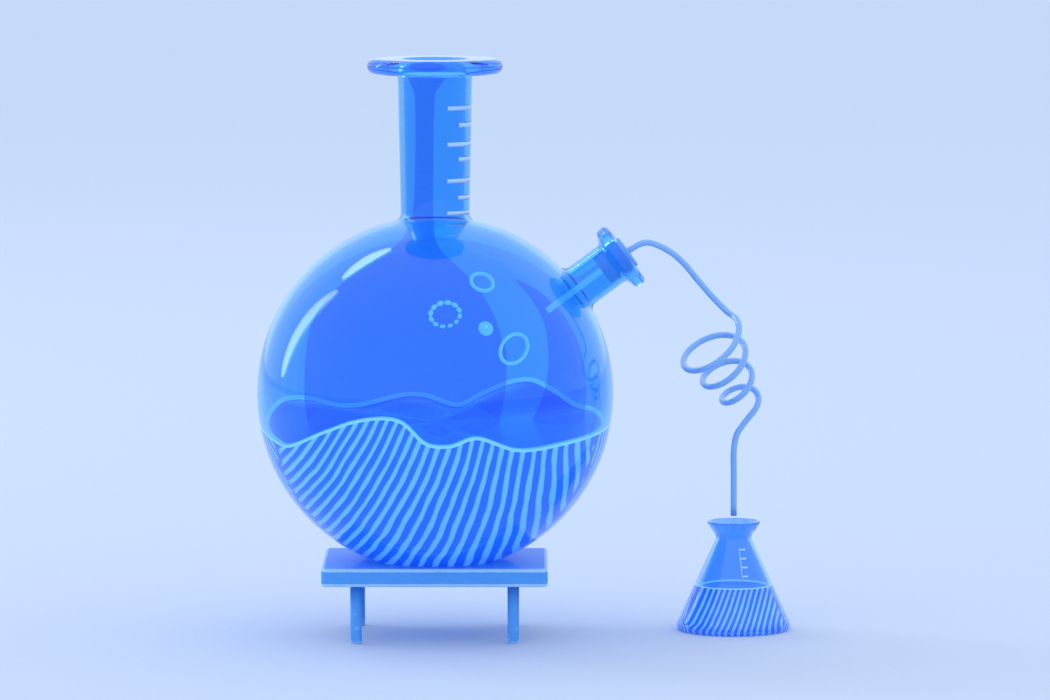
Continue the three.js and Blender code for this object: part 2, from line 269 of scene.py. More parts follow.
def rubbed_paint(name, grain):
    """Satin enamel brushed along the grain. Faint brush marks show, and marked edges are worn pale."""
    paint, tree, surface = new_material(name, Roughness=0.52, Specular_IOR_Level=0.3, Coat_Weight=0.1)
    place = add_node(tree, "ShaderNodeTexCoord")["Object"]
    stretched = add_node(tree, "ShaderNodeMapping", {"Vector": place, "Scale": grain})["Vector"]
    pattern = {"Vector": stretched, "Scale": 1 / (BRUSH_MARK * MM), "Detail": 3}
    brush = add_node(tree, "ShaderNodeTexNoise", pattern)["Fac"]
    tones = {"Factor": brush, "A": linear(PAINT), "B": linear(PAINT_DEEP)}
    coat = add_node(tree, "ShaderNodeMix", tones, data_type="RGBA")["Result"]
    edge = add_node(tree, "ShaderNodeAttribute", attribute_name="rubbed")["Fac"]
    pattern = {"Vector": place, "Scale": 1 / (WEAR_PATCH * MM), "Detail": 3}
    patchy = add_node(tree, "ShaderNodeTexNoise", pattern)["Fac"]
    wear = add_node(tree, "ShaderNodeMath", {0: edge, 1: patchy}, operation="ADD")["Value"]
    through = {"Value": wear, "From Min": 0.75, "From Max": 1.15}
    worn = add_node(tree, "ShaderNodeMapRange", through)["Result"]
    tones = {"Factor": worn, "A": coat, "B": linear(UNDERCOAT)}
    colour = add_node(tree, "ShaderNodeMix", tones, data_type="RGBA")["Result"]
    marks = {"Strength": 0.25, "Distance": BRUSH_DEPTH * MM, "Height": brush}
    relief = add_node(tree, "ShaderNodeBump", marks)["Normal"]
    plug(tree, surface, {"Base Color": colour, "Normal": relief})
    return paint


# The rounded edge, as distances in from the side and in from the face
board_edge = []
for step in range(EDGE_STEPS + 1):
    turn = math.pi / 2 * step / EDGE_STEPS
    board_edge.append((BOARD_EDGE * (1 - math.sin(turn)), BOARD_EDGE * (1 - math.cos(turn))))

# The board's rings, each with its wear: up through the hole, out over the top, and down the sides
board_rings = [
    (seat_ring(SEAT_HOLE + UNDERSIDE_RING, BOARD_BOTTOM), 0),
    (seat_ring(SEAT_HOLE + BOARD_EDGE + RUB_WIDTH, BOARD_BOTTOM), 0),
]
board_rings += [(seat_ring(SEAT_HOLE + inset, BOARD_BOTTOM + rise), 1) for inset, rise in board_edge]
dish_radii = [SEAT_HOLE + DISH_STEP * step for step in range(DISH_RINGS)]
board_rings += [(seat_ring(radius, dish_height(radius)), SEAT_WEAR) for radius in dish_radii]
seat_edge = math.sqrt((BULB_RADIUS + SEAT_GAP) ** 2 - (BULB_CENTRE.z - BOARD_TOP) ** 2)
board_rings += [
    (seat_ring(seat_edge, BOARD_TOP), 1),
    (seat_ring(seat_edge + SEAT_WEAR_WIDTH, BOARD_TOP), 0),
    (board_outline(BOARD_EDGE + RUB_WIDTH, BOARD_TOP), 0),
]
board_rings += [(board_outline(inset, BOARD_TOP - drop), 1) for inset, drop in board_edge]
board_rings += [
    (board_outline(0, BOARD_TOP - BOARD_EDGE - RUB_WIDTH), 0),
    (board_outline(0, BOARD_BOTTOM + BOARD_EDGE + RUB_WIDTH), 0),
]
board_rings += [(board_outline(inset, BOARD_BOTTOM + rise), 1) for inset, rise in reversed(board_edge)]
board_rings.append((board_outline(BOARD_EDGE + RUB_WIDTH, BOARD_BOTTOM), 0))

board = piece_from(
    "stand_board_painted",
    [skin([ring for ring, _ in board_rings], loop=True)],
    rubbed_paint("brushed_enamel_on_beech", grain=(0.1, 1, 1)),
    rubbed=[wear for ring, wear in board_rings for _ in ring],
)
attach(board, "stand")
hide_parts("stand_board")


# The stand's legs: four steel rods, set under the board and painted with it. Their feet are rounded, and
# the paint is rubbed pale there.
LEG_RADIUS = 2.7
LEG_FOOT = 0.8
LEG_SEGMENTS = 48
LEG_WORN_TO = 3
LEG_WEAR_FADE = 1.2
LEG_WEAR_FOOT = 0.8
LEG_WEAR_ALL = 0.1
# Each leg's place from the hole's axis, to the right and to the rear
LEG_PLACES = {
    "front_left": (-36.5, -31),
    "front_right": (36.5, -31),
    "back_left": (-36.5, 31),
    "back_right": (36.5, 31),
}


def rounded(corners, steps=8):
    """A profile of points through corners. A corner is a radius, a height, and the arc that it is given."""
    profile = []
    for index, (radius, height, bend) in enumerate(corners):
        here = Vector((radius, height))
        if bend == 0:
            profile.append(here)
            continue
        back = (Vector(corners[index - 1][:2]) - here).normalized()
        ahead = (Vector(corners[index + 1][:2]) - here).normalized()
        half_angle = back.angle(ahead) / 2
        reach = bend / math.tan(half_angle)
        weight = math.sin(half_angle)
        for step in range(steps + 1):
            share = step / steps
            parts = ((1 - share) ** 2, 2 * share * (1 - share) * weight, share**2)
            blend = parts[0] * (here + back * reach) + parts[1] * here
            blend += parts[2] * (here + ahead * reach)
            profile.append(blend / sum(parts))
    return profile


def turned(profile, centre, segments):
    """Rings of a profile of radius and height, turned about an upright axis through a centre."""
    turns = full_turn(segments)
    return [
        [(centre[0] + radius * math.cos(t), centre[1] + radius * math.sin(t), height) for t in turns]
        for radius, height in profile
    ]


leg_paint = rubbed_paint("brushed_enamel_on_steel", grain=(1, 1, 0.1))
leg_corners = [
    (0, 0, 0),
    (LEG_RADIUS, 0, LEG_FOOT),
    (LEG_RADIUS, LEG_WORN_TO, 0),
    (LEG_RADIUS, BOARD_BOTTOM, 0),
    (0, BOARD_BOTTOM, 0),
]
leg_profile = rounded(leg_corners)
leg_wear = [LEG_WEAR_ALL + LEG_WEAR_FOOT * math.exp(-height / LEG_WEAR_FADE) for _, height in leg_profile]
for place, (x, y) in LEG_PLACES.items():
    rings = turned(leg_profile, (FLASK_X + x, y), LEG_SEGMENTS)
    rubbed = [wear for wear in leg_wear for _ in range(LEG_SEGMENTS)]
    leg = piece_from(f"stand_leg_{place}_painted", [skin(rings)], leg_paint, rubbed=rubbed)
    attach(leg, "stand")
    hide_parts(f"stand_leg_{place}")


# The big flask: one piece of blue borosilicate glass. The bulb is blown, and the two necks are sealed on
# while hot, which leaves a small fillet. Both mouths are finished with a fire-polished rim.
GLASS_WALL = 2.5
SEAL_FILLET = 3
NECK_ROOT = 16
NECK_TOP = 17.4
RIM_RADIUS = 31.6
RIM_BOTTOM = 263.3
RIM_TOP = 270.3
SIDE_ELEVATION = math.radians(36.5)
SIDE_NECK = 10.5
SIDE_BORE = 8.2
SIDE_FLARE = 2.5
SIDE_LIP = 16.2
SIDE_LIP_BOTTOM = 105.4
SIDE_MOUTH = 111
GLASS_SEGMENTS = 176
BULB_ROWS = 56
GLASS_BLUE = "#7ccfff"
GLASS_BLUE_DEEP = "#6ec8ff"
GLASS_BODY = "#8cd2ff"
BODY_DENSITY = 26
TINT_PATCH = 60
RIPPLE = 38
RIPPLE_HEIGHT = 1
SMEAR = 9

UP = Vector((0, 0, 1))
SIDE = Vector((math.cos(SIDE_ELEVATION), 0, math.sin(SIDE_ELEVATION)))
ACROSS = Vector((0, 1, 0))
BETWEEN_NECKS = math.pi / 2 - SIDE_ELEVATION


def circle(centre, radius, aside, upward, steps):
    """Points round a centre, in the plane of two directions, from the first towards the second."""
    return [centre + radius * (aside * math.cos(t) + upward * math.sin(t)) for t in full_turn(steps)]


def neck_ring(axis, other, radius, height):
    """A ring about one neck's axis, at a height over the bulb's centre. It starts nearest the other neck."""
    towards = (other - axis * math.cos(BETWEEN_NECKS)) / math.sin(BETWEEN_NECKS)
    return circle(BULB_CENTRE + axis * height, radius, towards, ACROSS, GLASS_SEGMENTS)


def bulb_ring(axis, other, radius, hole, share):
    """A ring on the bulb, between a neck's hole and the circle halfway to the other neck."""
    towards = (other - axis * math.cos(BETWEEN_NECKS)) / math.sin(BETWEEN_NECKS)
    ring = []
    for turn in full_turn(GLASS_SEGMENTS):
        halfway = math.atan2(math.tan(BETWEEN_NECKS / 2), math.cos(turn))
        lean = hole + (halfway - hole) * share
        outwards = towards * math.cos(turn) + ACROSS * math.sin(turn)
        ring.append(BULB_CENTRE + radius * (axis * math.cos(lean) + outwards * math.sin(lean)))
    return ring


def seal(bulb, neck, fillet, steps=6):
    """The fillet between the bulb and a neck: its profile going up, and the angle where it starts."""
    out = neck + fillet
    up = math.sqrt((bulb + fillet) ** 2 - out**2)
    start = math.pi + math.atan2(up, out)
    turns = [start + (math.pi - start) * step / steps for step in range(steps + 1)]
    points = [Vector((out + fillet * math.cos(t), up + fillet * math.sin(t))) for t in turns]
    return points, math.atan2(out, up)


def bulb_rows(radius, main_hole, side_hole):
    """Rings over the whole bulb, from the main neck's hole to the side neck's."""
    shares = [row / BULB_ROWS for row in range(1, BULB_ROWS)]
    rows = [bulb_ring(UP, SIDE, radius, main_hole, share) for share in [*shares, 1]]
    return rows + [bulb_ring(SIDE, UP, radius, side_hole, share) for share in reversed(shares)]


def blown_glass(name, blue, deep_blue):
    """Tinted borosilicate, blown and fire-polished: clear and glossy, with the slow ripple of hand work."""
    glass, tree, surface = new_material(name, IOR=1.47, Transmission_Weight=1)
    tint = mottled(tree, blue, deep_blue, TINT_PATCH, detail=1)
    place = add_node(tree, "ShaderNodeTexCoord")["Object"]
    pattern = {"Vector": place, "Scale": 1 / (RIPPLE * MM), "Detail": 0}
    ripple = add_node(tree, "ShaderNodeTexNoise", pattern)["Fac"]
    waves = {"Strength": 0.1, "Distance": RIPPLE_HEIGHT * MM, "Height": ripple}
    relief = add_node(tree, "ShaderNodeBump", waves)["Normal"]
    pattern = {"Vector": place, "Scale": 1 / (SMEAR * MM), "Detail": 4}
    smears = add_node(tree, "ShaderNodeTexNoise", pattern)["Fac"]
    dulled = {"Value": smears, "From Min": 0.55, "From Max": 0.8, "To Min": 0, "To Max": 0.035}
    gloss = add_node(tree, "ShaderNodeMapRange", dulled)["Result"]
    plug(tree, surface, {"Base Color": tint, "Normal": relief, "Roughness": gloss})
    # thick rims and seals look deeper than the thin walls
    depth = {"Color": linear(GLASS_BODY), "Density": BODY_DENSITY}
    body = add_node(tree, "ShaderNodeVolumeAbsorption", depth)["Volume"]
    plug(tree, tree.nodes["Material Output"], {"Volume": body})
    return glass


# Each neck's corners, from its outer seal over the rim and down inside: its radius, its height from the
# bulb's centre along the neck, and its arc
outer_main, main_hole = seal(BULB_RADIUS, NECK_ROOT, SEAL_FILLET)
inner_fillet = SEAL_FILLET + GLASS_WALL
inner_main, main_hole_inside = seal(BULB_RADIUS - GLASS_WALL, NECK_ROOT - GLASS_WALL, inner_fillet)
main_corners = [
    (*outer_main[-1], 0),
    (NECK_TOP, RIM_BOTTOM - BULB_CENTRE.z, 2.2),
    (RIM_RADIUS, RIM_BOTTOM - BULB_CENTRE.z, 3.45),
    (RIM_RADIUS, RIM_TOP - BULB_CENTRE.z, 3.45),
    (NECK_TOP - GLASS_WALL, RIM_TOP - BULB_CENTRE.z, 1.2),
    (*inner_main[-1], 0),
]
main_profile = outer_main[:-1] + rounded(main_corners) + inner_main[-2::-1]

outer_side, side_hole = seal(BULB_RADIUS, SIDE_NECK, SEAL_FILLET)
inner_side, side_hole_inside = seal(BULB_RADIUS - GLASS_WALL, SIDE_BORE, inner_fillet)
side_corners = [
    (*outer_side[-1], 0),
    (SIDE_NECK, SIDE_LIP_BOTTOM - SIDE_FLARE, 2),
    (SIDE_LIP, SIDE_LIP_BOTTOM, 2.2),
    (SIDE_LIP, SIDE_MOUTH, 2.6),
    (SIDE_BORE, SIDE_MOUTH, 0.8),
    (*inner_side[-1], 0),
]
side_profile = outer_side[:-1] + rounded(side_corners) + inner_side[-2::-1]

flask_rings = [neck_ring(UP, SIDE, *point) for point in main_profile]
flask_rings += bulb_rows(BULB_RADIUS - GLASS_WALL, main_hole_inside, side_hole_inside)
flask_rings += [neck_ring(SIDE, UP, *point) for point in reversed(side_profile)]
flask_rings += reversed(bulb_rows(BULB_RADIUS, main_hole, side_hole))

flask_blue = blown_glass("blown_borosilicate_glass", GLASS_BLUE, GLASS_BLUE_DEEP)
flask = piece_from("flask_blown_glass", [skin(flask_rings, loop=True)], flask_blue)
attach(flask, "flask")
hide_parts("flask_bulb", "flask_main_neck", "flask_side_neck")


# The neck's graduations: pale ceramic enamel, screen printed on the glass and fired, long and short by
# turns. They run a little way past the neck's right-hand side.
MARK_WIDTH = 2
MARK_THICKNESS = 0.15
# How far a mark runs past the neck's side, and the steps that it is cut in, in degrees
MARK_PAST_SIDE = 8
MARK_STEP = 2
# A mark's section, as shares of its width and of its thickness
MARK_SECTION = [(-0.5, 0.02), (-0.5, 1), (0.5, 1), (0.5, 0.02)]
# Each mark's height above the bench and how far it reaches round the neck from the right, in degrees
GRADUATIONS = [(247.9, 69), (239.9, 48), (231, 69), (224, 48), (214, 69), (206, 48), (198.9, 69)]
MARK_PALE = "#c4e3ff"
MARK_FRIT = "#acd6ff"
FRIT_GRAIN = 0.5


def fired_enamel():
    """Ceramic enamel fused to the glass: opaque, slightly raised and glossy, with a faint grain of frit."""
    enamel, tree, surface = new_material("fired_ceramic_enamel", Roughness=0.3, IOR=1.5)
    # the frit's grains are finer than this in fact, and would not show
    plug(tree, surface, {"Base Color": mottled(tree, MARK_PALE, MARK_FRIT, FRIT_GRAIN)})
    return enamel


def enamel_mark(radius_at, height, start, end, width, centre):
    """A strip of enamel round a turned piece, between two angles in degrees, with its ends squared."""
    rings = []
    for degrees in range(round(start), round(end) + 1, MARK_STEP):
        turn = math.radians(degrees)
        ring = []
        for level, proud in MARK_SECTION:
            z = height + level * width
            reach = radius_at(z) + proud * MARK_THICKNESS
            ring.append((centre[0] + reach * math.cos(turn), centre[1] + reach * math.sin(turn), z))
        rings.append(ring)
    return skin(rings, capped=True)


def neck_radius(height):
    """The main neck's outer radius at a height above the bench."""
    root = BULB_CENTRE.z + outer_main[-1].y
    return NECK_ROOT + (NECK_TOP - NECK_ROOT) * (height - root) / (RIM_BOTTOM - root)


enamel = fired_enamel()
marks = []
for height, reach in GRADUATIONS:
    marks.append(enamel_mark(neck_radius, height, -reach, MARK_PAST_SIDE, MARK_WIDTH, (FLASK_X, 0)))
graduations = piece_from("neck_graduations", marks, enamel)
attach(graduations, "flask")


# The liquid in the big flask: a deep blue solution on the boil. Its edge climbs and falls along the glass,
# a low meniscus creeps up there, and pale streaks of convection slant through its body.
LIQUID_LEVEL = 100.5
# The swell dies out from the level down to here
LIQUID_CALM = 80
# How far a liquid reaches into its glass, so that no film of air shows between them
WETTING = 0.1
MENISCUS_RISE = 1.6
MENISCUS_WIDTH = 1.5
SWELL_FALL = 1.4
LIQUID_SEGMENTS = 224
LIQUID_ROWS = 48
WALL_ROWS = 16
EDGE_LINE_STEPS = 12
# The surface's outer rings, as distances from the glass, which are closest where the meniscus bends
MENISCUS_RINGS = (0.5, 1, 1.6, 2.4, 3.4, 5)
# Where the liquid's edge stands on the glass, as distance right of the bulb's axis and height above the
# bench, along the front from left to right and back along the rear
FRONT_EDGE = [(-68, 91.6), (-49, 100.6), (-36, 106), (-22, 108.2), (-14, 106.5), (-3, 96.6), (8, 95.6)]
FRONT_EDGE += [(19, 99.2), (38, 92.8), (60, 94.3), (74, 96.6)]
REAR_EDGE = [(76, 101.5), (67, 102.3), (57, 107.5), (46, 112), (36, 110.4), (22, 104.2), (10, 98.4)]
REAR_EDGE += [(-6, 103), (-15, 103.6), (-38, 99.3), (-49, 100), (-62, 104.6), (-75, 105.6)]
LIQUID_BLUE = "#66a8fd"
LIQUID_PAINTED_GLOW = "#1c5ae6"
STREAK_PALE = "#f6fbff"
STREAK_PAINTED_GLOW = "#8fc6ff"
# How far apart the streaks are, and the size of the patches that they break up in
STREAK_SPACING = 5
STREAK_BREAKS = 14
# How far a streak leans to the right for each millimetre that it falls, and how much that changes for
# each metre to the right
STREAK_LEAN = -0.38
STREAK_FAN = 5.5
# How far the streaks wander, as an angle of the wave that draws them, and over what distance
STREAK_WANDER = 3
STREAK_WANDER_PATCH = 22
STREAK_RAGGEDNESS = 1.3
# How far to the side the streaks of the front and those of the sides meet, as a share of the radius
SEAM = 0.981
SEAM_BLEND = 0.001
SEAM_WANDER = 0.1
STREAKS_MIDDLE = 90
SIMMER = 7
SIMMER_HEIGHT = 0.6


def smooth_line(points, steps):
    """A smooth line through points: each stretch between two is a cubic, by the centripetal rule."""
    ends = [points[0] * 2 - points[1], *points, points[-1] * 2 - points[-2]]
    line = []
    for a, b, c, d in zip(ends, ends[1:], ends[2:], ends[3:]):
        stretches = ((a, b), (b, c), (c, d))
        times = [0]
        for start, end in stretches:
            times.append(times[-1] + math.sqrt((end - start).length))
        for step in range(steps):
            t = times[1] + (times[2] - times[1]) * step / steps
            first = []
            for k, (start, end) in enumerate(stretches):
                first.append(start + (end - start) * ((t - times[k]) / (times[k + 1] - times[k])))
            second = []
            for k in range(2):
                share = (t - times[k]) / (times[k + 2] - times[k])
                second.append(first[k] + (first[k + 1] - first[k]) * share)
            line.append(second[0] + (second[1] - second[0]) * ((t - times[1]) / (times[2] - times[1])))
    return [*line, points[-1]]


def width_at(height):
    """How far from the bulb's axis the liquid reaches at a height."""
    return math.sqrt(liquid_radius**2 - (height - BULB_CENTRE.z) ** 2)


def edge_swell(turn):
    """How far the liquid's edge stands over its level, at an angle round the bulb."""
    angle = turn % (2 * math.pi)
    for (start, low), (end, high) in zip(edge_heights, edge_heights[1:]):
        if start <= angle <= end:
            return low + (high - low) * (angle - start) / (end - start) - LIQUID_LEVEL
    return 0


def liquid_point(width, height, turn):
    """A point of the liquid. Above the calm height it follows the swell, and keeps to the glass."""
    x, y = width * math.cos(turn), width * math.sin(turn)
    if height <= LIQUID_CALM:
        return (FLASK_X + x, y, height)
    share = (height - LIQUID_CALM) / (LIQUID_LEVEL - LIQUID_CALM)
    from_glass = width_at(height) - width
    rise = MENISCUS_RISE * math.exp(-from_glass / MENISCUS_WIDTH)
    swell = edge_swell(turn) * (width / width_at(height)) ** SWELL_FALL
    waved = height + share * (swell + rise)
    widening = width_at(waved) / width_at(height)
    return (FLASK_X + x * widening, y * widening, waved)


def streaked_liquid(name, middle, spacing, breaks_apart):
    """A blue solution in glass: glossy and deep, with slanting pale streaks where it is marked streaked."""
    liquid, tree, surface = new_material(
        name, Roughness=0.12, IOR=1.33, Coat_Weight=0.15, Coat_Roughness=0.03, Emission_Strength=0.5
    )
    place = add_node(tree, "ShaderNodeTexCoord")["Object"]
    offset = {0: place, 1: Vector(middle) * MM}
    moved = add_node(tree, "ShaderNodeVectorMath", offset, operation="SUBTRACT")["Vector"]
    parts = add_node(tree, "ShaderNodeSeparateXYZ", {"Vector": moved})
    # the streaks fan a little: those on the left lean over more
    fan = {0: parts["X"], 1: STREAK_FAN, 2: STREAK_LEAN}
    lean = add_node(tree, "ShaderNodeMath", fan, operation="MULTIPLY_ADD")["Value"]
    pattern = {"Vector": place, "Scale": 1 / (STREAK_WANDER_PATCH * MM), "Detail": 1}
    wander = add_node(tree, "ShaderNodeTexNoise", pattern)["Fac"]
    drifting = {0: wander, 1: STREAK_WANDER}
    drift = add_node(tree, "ShaderNodeMath", drifting, operation="MULTIPLY")["Value"]
    pattern = {"Vector": place, "Scale": 1 / (breaks_apart * MM), "Detail": 2}
    breaks = add_node(tree, "ShaderNodeTexNoise", pattern)["Fac"]
    strokes = []
    for across in ("X", "Y"):
        slant = {0: parts["Z"], 1: lean, 2: parts[across]}
        slanted = add_node(tree, "ShaderNodeMath", slant, operation="MULTIPLY_ADD")["Value"]
        wave = {0: slanted, 1: 2 * math.pi / (spacing * MM), 2: drift}
        phase = add_node(tree, "ShaderNodeMath", wave, operation="MULTIPLY_ADD")["Value"]
        swing = add_node(tree, "ShaderNodeMath", {0: phase}, operation="SINE")["Value"]
        ragged = {0: breaks, 1: STREAK_RAGGEDNESS, 2: swing}
        uneven = add_node(tree, "ShaderNodeMath", ragged, operation="MULTIPLY_ADD")["Value"]
        crest = {"Value": uneven, "From Min": 0.55, "From Max": 1.1}
        strokes.append(add_node(tree, "ShaderNodeMapRange", crest)["Result"])
    # streaks spaced across the front would close into rings on the left and right, so others take over
    # there, and both die out where they meet
    level = add_node(tree, "ShaderNodeCombineXYZ", {"X": parts["X"], "Y": parts["Y"]})["Vector"]
    outwards = add_node(tree, "ShaderNodeVectorMath", {0: level}, operation="NORMALIZE")["Vector"]
    sideways = add_node(tree, "ShaderNodeSeparateXYZ", {"Vector": outwards})["X"]
    aside = add_node(tree, "ShaderNodeMath", {0: sideways}, operation="ABSOLUTE")["Value"]
    wound = {0: breaks, 1: SEAM_WANDER, 2: aside}
    winding = add_node(tree, "ShaderNodeMath", wound, operation="MULTIPLY_ADD")["Value"]
    past_seam = {"Value": winding, "From Min": SEAM - SEAM_BLEND, "From Max": SEAM + SEAM_BLEND}
    on_side = add_node(tree, "ShaderNodeMapRange", past_seam)["Result"]
    to_seam = {0: winding, 1: SEAM}
    from_seam = add_node(tree, "ShaderNodeMath", to_seam, operation="SUBTRACT")["Value"]
    apart = add_node(tree, "ShaderNodeMath", {0: from_seam}, operation="ABSOLUTE")["Value"]
    clear = {"Value": apart, "From Min": 0.005, "From Max": 0.012}
    calm = add_node(tree, "ShaderNodeMapRange", clear)["Result"]
    streak = add_node(tree, "ShaderNodeMix", {0: on_side, 2: strokes[0], 3: strokes[1]})[0]
    body = add_node(tree, "ShaderNodeAttribute", attribute_name="streaked")["Fac"]
    parted = add_node(tree, "ShaderNodeMath", {0: streak, 1: calm}, operation="MULTIPLY")["Value"]
    shown = add_node(tree, "ShaderNodeMath", {0: parted, 1: body}, operation="MULTIPLY")["Value"]
    tones = {"Factor": shown, "A": linear(LIQUID_BLUE), "B": linear(STREAK_PALE)}
    colour = add_node(tree, "ShaderNodeMix", tones, data_type="RGBA")["Result"]
    # painted light: the liquid glows, its streaks most, for the light that the glass keeps from it
    tones = {"Factor": shown, "A": linear(LIQUID_PAINTED_GLOW), "B": linear(STREAK_PAINTED_GLOW)}
    glow = add_node(tree, "ShaderNodeMix", tones, data_type="RGBA")["Result"]
    pattern = {"Vector": place, "Scale": 1 / (SIMMER * MM), "Detail": 2}
    simmer = add_node(tree, "ShaderNodeTexNoise", pattern)["Fac"]
    ripples = {"Strength": 0.3, "Distance": SIMMER_HEIGHT * MM, "Height": simmer}
    relief = add_node(tree, "ShaderNodeBump", ripples)["Normal"]
    plug(tree, surface, {"Base Color": colour, "Emission Color": glow, "Normal": relief})
    return liquid


liquid_radius = BULB_RADIUS - GLASS_WALL + WETTING
edge_places = []
for side, edge in ((-1, FRONT_EDGE), (1, REAR_EDGE)):
    for x, height in edge:
        edge_places.append(Vector((x, side * math.sqrt(width_at(height) ** 2 - x**2), height)))
# two places more at each end, and the line's two stretches there left off, close it without a kink
edge_line = smooth_line(edge_places[-2:] + edge_places + edge_places[:2], EDGE_LINE_STEPS)
edge_line = edge_line[2 * EDGE_LINE_STEPS : -2 * EDGE_LINE_STEPS]
edge_heights = sorted((math.atan2(point.y, point.x) % (2 * math.pi), point.z) for point in edge_line)
edge_heights = [
    (edge_heights[-1][0] - 2 * math.pi, edge_heights[-1][1]),
    *edge_heights,
    (edge_heights[0][0] + 2 * math.pi, edge_heights[0][1]),
]

# The liquid's rings, as width and height: up the bulb's wall, then in over the surface
liquid_places = []
bottom_lean = math.acos((BULB_CENTRE.z - LIQUID_CALM) / liquid_radius)
for row in range(LIQUID_ROWS):
    lean = bottom_lean * row / LIQUID_ROWS
    liquid_places.append((liquid_radius * math.sin(lean), BULB_CENTRE.z - liquid_radius * math.cos(lean)))
for row in range(WALL_ROWS + 1):
    height = LIQUID_CALM + (LIQUID_LEVEL - LIQUID_CALM) * row / WALL_ROWS
    liquid_places.append((width_at(height), height))
rows_on_wall = len(liquid_places)
for inset in MENISCUS_RINGS:
    liquid_places.append((width_at(LIQUID_LEVEL) - inset, LIQUID_LEVEL))
surface_width = liquid_places[-1][0]
for row in range(1, LIQUID_ROWS + 1):
    liquid_places.append((surface_width * (1 - row / LIQUID_ROWS), LIQUID_LEVEL))
liquid_turns = full_turn(LIQUID_SEGMENTS)
liquid_rings = []
for width, height in liquid_places:
    liquid_rings.append([liquid_point(width, height, turn) for turn in liquid_turns])
streaked = [1 if row < rows_on_wall else 0 for row in range(len(liquid_rings)) for _ in liquid_turns]

streaks_at = (FLASK_X, 0, STREAKS_MIDDLE)
boiling_blue = streaked_liquid("deep_blue_solution", streaks_at, STREAK_SPACING, STREAK_BREAKS)
liquid = piece_from("flask_boiling_liquid", [skin(liquid_rings)], boiling_blue, streaked=streaked)
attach(liquid, "flask")
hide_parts("flask_liquid")


# The froth line: a thin bead of pale foam, left by the boil where the liquid's surface meets the glass. It
# is pressed a little into the glass, so that no gap shows.
FROTH_RADIUS = 1.1
FROTH_SIDES = 10
FROTH_PRESSED = 0.2
FROTH_PALE = "#ffffff"
FROTH_SHADE = "#dceeff"
FROTH_PAINTED_GLOW = "#a8d4ff"
FOAM_CELL = 0.7
FOAM_PITS = 0.3
FOAM_SCATTER = 0.5


def swept(line, radius, sides, loop=False):
    """Rings of a round section carried along a line of points, kept from twisting."""
    count = len(line)
    rings = []
    aside = None
    for i, point in enumerate(line):
        before = line[i - 1] if i or loop else point
        after = line[(i + 1) % count] if i + 1 < count or loop else point
        ahead = (after - before).normalized()
        if aside is None:
            aside = ahead.orthogonal()
        aside = (aside - ahead * aside.dot(ahead)).normalized()
        rings.append(circle(point, radius, aside, ahead.cross(aside), sides))
    return rings


def fine_foam(name):
    """Foam of tiny bubbles: white, matt and pitted, and lit by a painted glow so that it is never dark."""
    foam, tree, surface = new_material(
        name, Roughness=0.55, IOR=1.33, Subsurface_Weight=0.2, Subsurface_Scale=FOAM_SCATTER * MM,
        Emission_Color=linear(FROTH_PAINTED_GLOW), Emission_Strength=0.8,
    )
    place = add_node(tree, "ShaderNodeTexCoord")["Object"]
    # the bubbles of real foam are finer than this, and would not show
    pattern = {"Vector": place, "Scale": 1 / (FOAM_CELL * MM)}
    cells = add_node(tree, "ShaderNodeTexVoronoi", pattern)["Distance"]
    tones = {"Factor": cells, "A": linear(FROTH_PALE), "B": linear(FROTH_SHADE)}
    colour = add_node(tree, "ShaderNodeMix", tones, data_type="RGBA")["Result"]
    pits = {"Strength": 0.4, "Distance": FOAM_PITS * MM, "Height": cells}
    relief = add_node(tree, "ShaderNodeBump", pits)["Normal"]
    plug(tree, surface, {"Base Color": colour, "Normal": relief})
    return foam


froth_line = []
for turn in liquid_turns:
    outwards = (Vector(liquid_point(width_at(LIQUID_LEVEL), LIQUID_LEVEL, turn)) - BULB_CENTRE).normalized()
    froth_line.append(BULB_CENTRE + outwards * (liquid_radius - FROTH_RADIUS + FROTH_PRESSED))
foam = fine_foam("fine_boiling_foam")
froth_rings = swept(froth_line, FROTH_RADIUS, FROTH_SIDES, loop=True)
froth = piece_from("flask_froth_line", [skin(froth_rings, loop=True)], foam)
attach(froth, "flask")


# The bubbles: films of the solution that cling to the front of the bulb, each on a foot of froth. One has
# burst and left a ring of droplets, and a single drop of froth hangs beside it.
FILM = 0.25
FILM_LIFT = 0.1
FILM_ROWS = 10
FILM_CLEAR = "#ffffff"
FILM_TINT = "#d8ecff"
FILM_BAND = 3
BUBBLE_DEPTH = 0.45
BUBBLE_SEGMENTS = 48
FOOT_RADIUS = 0.85
# Each bubble: distance right of the bulb's axis, height above the bench, length, breadth, tilt in degrees
FILM_BUBBLES = [(22.1, 169.7, 10.4, 10.2, 0), (36.7, 140.6, 16.6, 11.4, 38)]
BURST_BUBBLE = (5.5, 156.4, 13.6, 12, 20)
DROPLET_SPACING = 4
DROPLET_RADIUS = 1.05
DROPLET_UNEVENNESS = 0.15
DROPLET_VARIATION = 1.7
DROPLET_INSIDE = 0.7
DROPLET_FLATNESS = 0.6
DROPLET_STRETCH = 1.4
DROP_ROWS = 12
DROP_SEGMENTS = 24
# The drop of froth: distance right of the bulb's axis, height above the bench, and width
FROTH_DROP = (23.8, 149.8, 7)
FROTH_DROP_FLATNESS = 0.5


def on_front_wall(x, height, inside):
    """A place on the bulb's front inner wall, and the lines there that point outwards, level and up."""
    reach = BULB_RADIUS - GLASS_WALL - inside
    up = height - BULB_CENTRE.z
    outwards = Vector((x, -math.sqrt(reach**2 - x**2 - up**2), up)).normalized()
    level = Vector((-outwards.y, outwards.x, 0)).normalized()
    return BULB_CENTRE + outwards * reach, outwards, level, outwards.cross(level)


